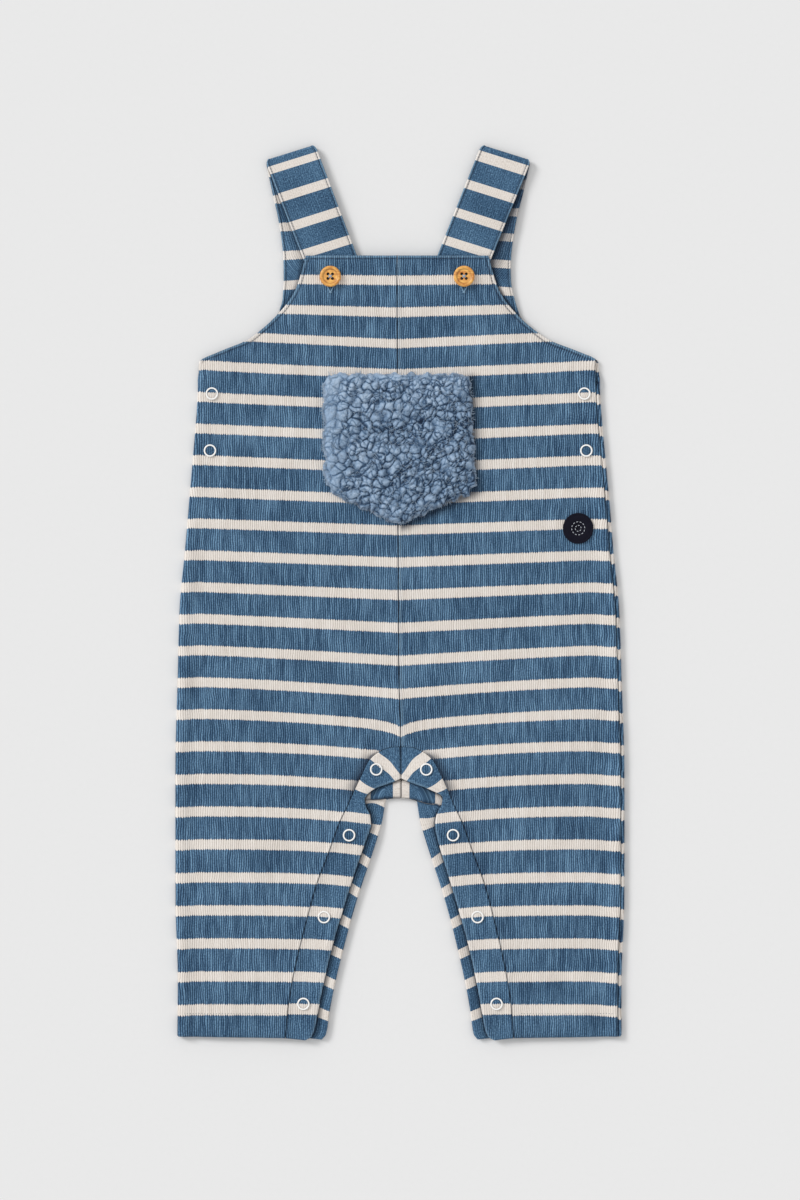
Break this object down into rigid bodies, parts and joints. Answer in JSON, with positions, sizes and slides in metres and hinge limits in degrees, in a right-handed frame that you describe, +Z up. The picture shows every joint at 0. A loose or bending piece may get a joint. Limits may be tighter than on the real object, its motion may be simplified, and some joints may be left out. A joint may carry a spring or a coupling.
{
  "type": "baby dungarees",
  "caption": "Sleeveless striped dungarees for a baby, laid flat on their back, with buttoned straps, a fleece bib pocket and snap-fastened legs.",
  "frame": {"origin": "on the surface that the dungarees lie on, below the middle of their outline", "axes": "+X towards the wearer's left, +Y towards the shoulders, +Z up from the surface, out of the front"},
  "size_m": [0.2906, 0.5806, 0.0132],
  "materials": {
    "rib": "matt cotton rib knit, blue with narrow cream stripes",
    "pile": "curly pile fleece, blue grey",
    "wood": "turned and lacquered, honey colour",
    "enamel": "white lacquer, satin",
    "badge": "woven, navy, with a light running stitch"
  },
  "bodies": {
    "root": {"front_left": "rib", "back_left": "rib", "front_band_left": "rib", "back_band_left": "rib", "front_right": "rib", "back_right": "rib", "front_band_right": "rib", "back_band_right": "rib", "pocket": "pile", "button_left": "wood", "button_right": "wood", "snap_side_upper_left": "enamel", "snap_side_lower_left": "enamel", "snap_crotch_left": "enamel", "snap_knee_left": "enamel", "snap_calf_left": "enamel", "snap_hem_left": "enamel", "snap_side_upper_right": "enamel", "snap_side_lower_right": "enamel", "snap_crotch_right": "enamel", "snap_knee_right": "enamel", "snap_calf_right": "enamel", "snap_hem_right": "enamel", "badge": "badge"}
  },
  "joints": []
}
